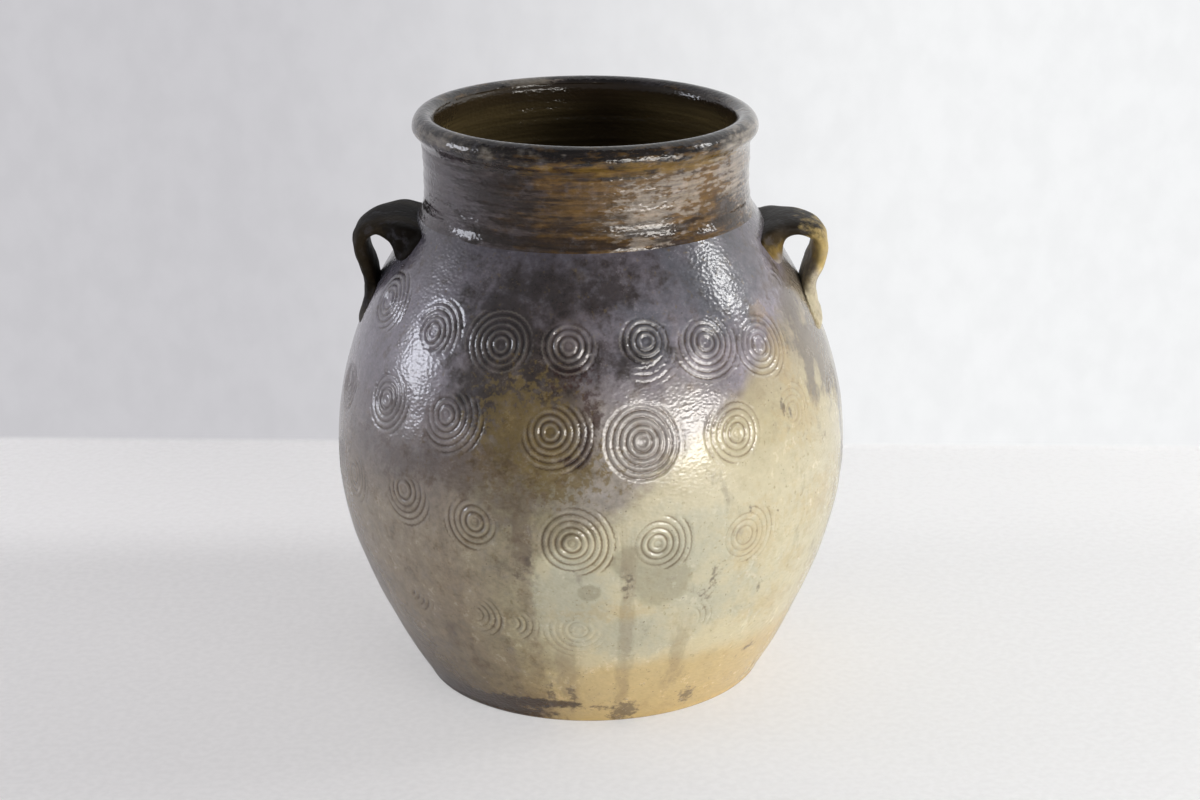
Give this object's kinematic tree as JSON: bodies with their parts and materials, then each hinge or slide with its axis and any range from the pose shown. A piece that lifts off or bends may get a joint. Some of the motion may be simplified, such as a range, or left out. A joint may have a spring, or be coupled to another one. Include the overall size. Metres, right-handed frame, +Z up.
{
  "type": "storage jar",
  "caption": "Full-bellied salt-glazed stoneware storage jar with an upright neck, a rolled rim and a strap handle on each shoulder.",
  "frame": {"origin": "centre of the flat foot, on the surface the jar stands on", "axes": "+Z up through the middle of the mouth, +X through the lower and wider of the two handles, +Y away from the side that the picture shows"},
  "size_m": [0.2664, 0.2664, 0.3012],
  "materials": {
    "foot_glaze": "thin glossy salt glaze over ochre stoneware, browner at the foot",
    "body_glaze": "glossy salt glaze, violet-grey on the shoulder running to cream below, with stamped rings",
    "neck_glaze": "glossy salt glaze, grey and golden brown in fine throwing streaks",
    "left_handle_glaze": "glossy dark olive-brown salt glaze",
    "right_handle_glaze": "glossy salt glaze, dark on top, golden brown outside and cream at its lower end"
  },
  "bodies": {
    "root": {"floor_slab": "foot_glaze", "body_wall": "body_glaze", "neck_collar": "neck_glaze", "handle_left": "left_handle_glaze", "handle_right": "right_handle_glaze"}
  },
  "joints": []
}
